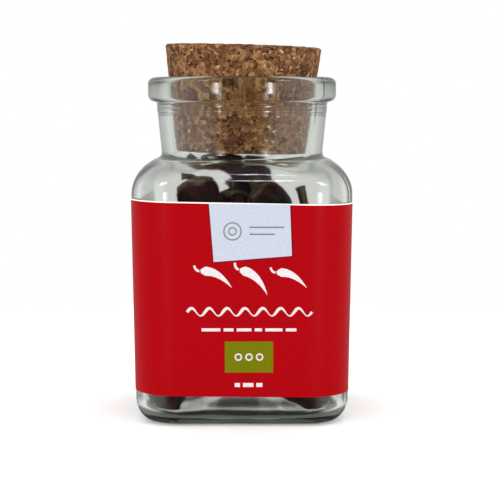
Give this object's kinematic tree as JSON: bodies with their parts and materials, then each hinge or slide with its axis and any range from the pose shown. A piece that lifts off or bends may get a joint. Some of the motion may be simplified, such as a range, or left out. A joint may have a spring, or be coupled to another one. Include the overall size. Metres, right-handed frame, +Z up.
{
  "type": "corked square jar of dried chillies",
  "caption": "Square clear glass spice jar with a round neck and beaded rim, shut by a tapered cork, with a red paper label round its front and sides and whole dried chillies in it.",
  "frame": {"origin": "middle of the jar's foot, on the surface that it stands on", "axes": "+Z up through the cork, -Y out of the label's printed front, +X to the right of someone facing that front"},
  "size_m": [0.056, 0.0555, 0.0945],
  "materials": {
    "glass": "clear soda-lime glass, fire-polished",
    "cork": "matt agglomerated cork",
    "label": "semi-gloss printed paper",
    "chilli": "glossy wrinkled dried skin"
  },
  "bodies": {
    "root": {"glass_jar": "glass", "cork_stopper": "cork", "paper_label": "label", "dried_chillies": "chilli"}
  },
  "joints": []
}
